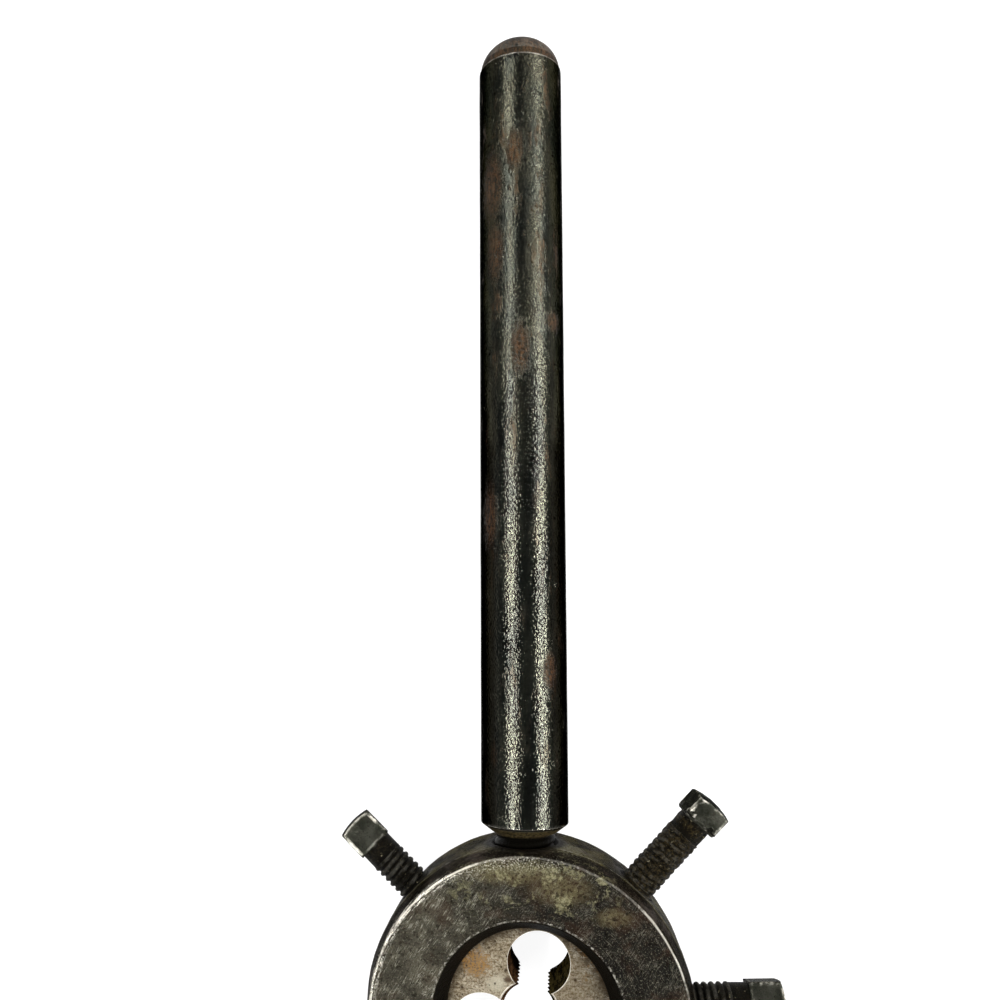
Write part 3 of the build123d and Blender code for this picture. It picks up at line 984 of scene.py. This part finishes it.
def makeScrewSteel():
    material, tree, shader = newSteel("grimyScrewSteel", 0.85, setScrew["tint"])
    place = millimetres(tree)
    broad = cloud(place, 0.4, 3.0, 0.55)
    fine = cloud(place, 2.6, 4.0, 0.75)
    flecks = cloud(place, 1.5, 5.0, 0.85)
    colour = mixTones(span(broad, 0.35, 0.66), *setScrew["headTones"])
    colour = mixTones(span(fine, 0.5, 0.72, 0.0, 0.6), colour, tone(26, 25, 20))
    lines = use(scratches, Place=place, Turn=0.5, Length=3.0, Gap=0.35, Thin=0.03, Cover=0.35)
    colour = mixTones(times(lines, 0.3), colour, tone(130, 128, 116))
    soilAndShade = attribute(tree, "soilAndShade")
    deep = attribute(tree, "hollow")
    dirtAndShade = calc("MAXIMUM", span(plus(soilAndShade, times(fine, 0.7)), 0.5, 0.95),
                times(span(deep, 0.2, 0.6), 0.9))
    # heavily soiled screws are browner, the others nearly black
    dirtTone = mixTones(span(fine, 0.44, 0.64), setScrew["blackDirt"],
                        mixTones(span(soilAndShade, 0.8, 1.0), *setScrew["soilTones"]))
    dirtTone = mixTones(span(deep, 0.1, 0.6, 0.0, 0.9), dirtTone, tone(4, 3, 2))
    dirtTone = mixTones(span(flecks, 0.61, 0.68, 0, 0.8), dirtTone, setScrew["flecks"])
    colour = mixTones(times(dirtAndShade, 0.95), colour, dirtTone)
    bareAndHighlight = use(rubbed, Edge=attribute(tree, "edge"), Place=place, Size=2.2, Amount=0.33)
    bareAndHighlight = times(bareAndHighlight, span(soilAndShade, 0.0, 0.4, 0.9, 0.05))
    colour = mixTones(bareAndHighlight, colour, setScrew["bareAndHighlight"])
    rough = plus(span(fine, 0.3, 0.7, 0.26, 0.4), times(dirtAndShade, 0.25))
    height = plus(times(fine, 0.45), times(dirtAndShade, times(flecks, 1.9)))
    height = minus(height, times(lines, 0.15))
    finishShader(shader, colour, span(dirtAndShade, 0.0, 1.0, 0.95, 0.1), rough, height, setScrew["bump"])
    return material


handleSteel = makeHandleSteel()
makeHandle("upperHandleRod", 90, "stock", "upper_handle", handleSteel)
makeHandle("lowerHandleRod", 270, "stock", "lower_handle", handleSteel)
makeCollar(makeCollarIron())
makeDie(makeDieSteel(), makeFluteDirtAndShade())
screwSteel = makeScrewSteel()
for name, (node, angle, backedOut, turn, height, grimeAndShade) in screws.items():
    makeScrew(name, node, angle, backedOut, turn, height, grimeAndShade, screwSteel)
print("pieces made")

# floor, sky and lamps
studio = {
    "floorHeight": -8.83, "floorSize": 3000, "floorPaint": 0.25, "floorLift": 0.93,
    "skyLight": 0.13, "skyFade": (0.08, 0.3),
}
# name: place, the height along y that it faces, width and length, watts
lamps = {
    "leftStrip": ((-228, 170, 410), 170, (26, 800), 3.2),
    "rightStrip": ((345, 140, 275), 140, (26, 720), 3.3),
    "narrowStrip": ((205, 390, 420), 180, (16, 240), 0.25),
}


def makeFloor():
    backToObjects()
    bpy.ops.mesh.primitive_circle_add(vertices=96, radius=studio["floorSize"] / 2, fill_type="NGON")
    floor = bpy.context.object
    floor.name = "studioFloor"
    floor.data.transform(Matrix.Scale(0.001, 4) @ Matrix.Translation((0, 0, studio["floorHeight"])))
    material = bpy.data.materials.new("whiteFloor")
    material.use_nodes = True
    tree = material.node_tree
    tree.nodes.clear()
    seen = put(tree, "LightPath").outputs
    shown = most([seen["Is Camera Ray"], seen["Is Glossy Ray"], seen["Is Transmission Ray"]])
    paint = put(tree, "BsdfDiffuse", {"Color": (*[studio["floorPaint"]] * 3, 1)}).outputs[0]
    lift = put(tree, "Emission", {"Strength": times(shown, studio["floorLift"])}).outputs[0]
    both = put(tree, "AddShader", {0: paint, 1: lift}).outputs[0]
    put(tree, "OutputMaterial", {"Surface": both})
    floor.data.materials.append(material)


def makeWorld():
    world = bpy.data.worlds.new("studioWorld")
    bpy.context.scene.world = world
    world.use_nodes = True
    tree = world.node_tree
    tree.nodes.clear()
    seen = put(tree, "LightPath").outputs
    up = axes(put(tree, "TexCoord").outputs["Generated"])[2]
    low = minus(1.0, span(up, *studio["skyFade"]))
    # metal and glass see the white only near the horizon, the camera everywhere
    near = times(most([seen["Is Glossy Ray"], seen["Is Transmission Ray"]]), low)
    shown = most([near, seen["Is Camera Ray"]])
    strength = plus(studio["skyLight"], times(shown, 1 - studio["skyLight"]))
    sky = put(tree, "Background", {"Color": (1, 1, 1, 1), "Strength": strength}).outputs[0]
    put(tree, "OutputWorld", {"Surface": sky})


def makeLamp(name, place, facing, size, power):
    lamp = bpy.data.lights.new(name, "AREA")
    lamp.shape = "RECTANGLE"
    lamp.size, lamp.size_y = size[0] / 1000, size[1] / 1000
    lamp.energy = power
    holder = bpy.data.objects.new(name, lamp)
    bpy.context.scene.collection.objects.link(holder)
    holder.location = Vector(place) / 1000
    # the long side of each lamp stays along y
    away = (Vector(place) - Vector((0, facing, 0))).normalized()
    side = Vector((0, 1, 0)).cross(away).normalized()
    holder.rotation_euler = Matrix((side, away.cross(side), away)).transposed().to_euler()


makeFloor()
makeWorld()
for name, values in lamps.items():
    makeLamp(name, *values)

view = {
    "focus": 939.63, "frame": 1000, "sensor": 36, "shiftX": 0.065, "shiftY": 0.04,
    "place": (5.2742, 67.9807, 177.6871), "tilt": (5.2416, 7.223, -0.5372),
}
cameraData = bpy.data.cameras.new("viewCamera")
cameraData.sensor_width = view["sensor"]
cameraData.lens = view["focus"] * view["sensor"] / view["frame"]
cameraData.shift_x, cameraData.shift_y = view["shiftX"], view["shiftY"]
cameraData.clip_start = 0.005
camera = bpy.data.objects.new("viewCamera", cameraData)
bpy.context.scene.collection.objects.link(camera)
camera.location = Vector(view["place"]) / 1000
camera.rotation_euler = Euler([radians(a) for a in view["tilt"]], "ZYX").to_matrix().to_euler()
bpy.context.scene.camera = camera
bpy.context.scene.view_settings.view_transform = "Standard"
print("studio ready")
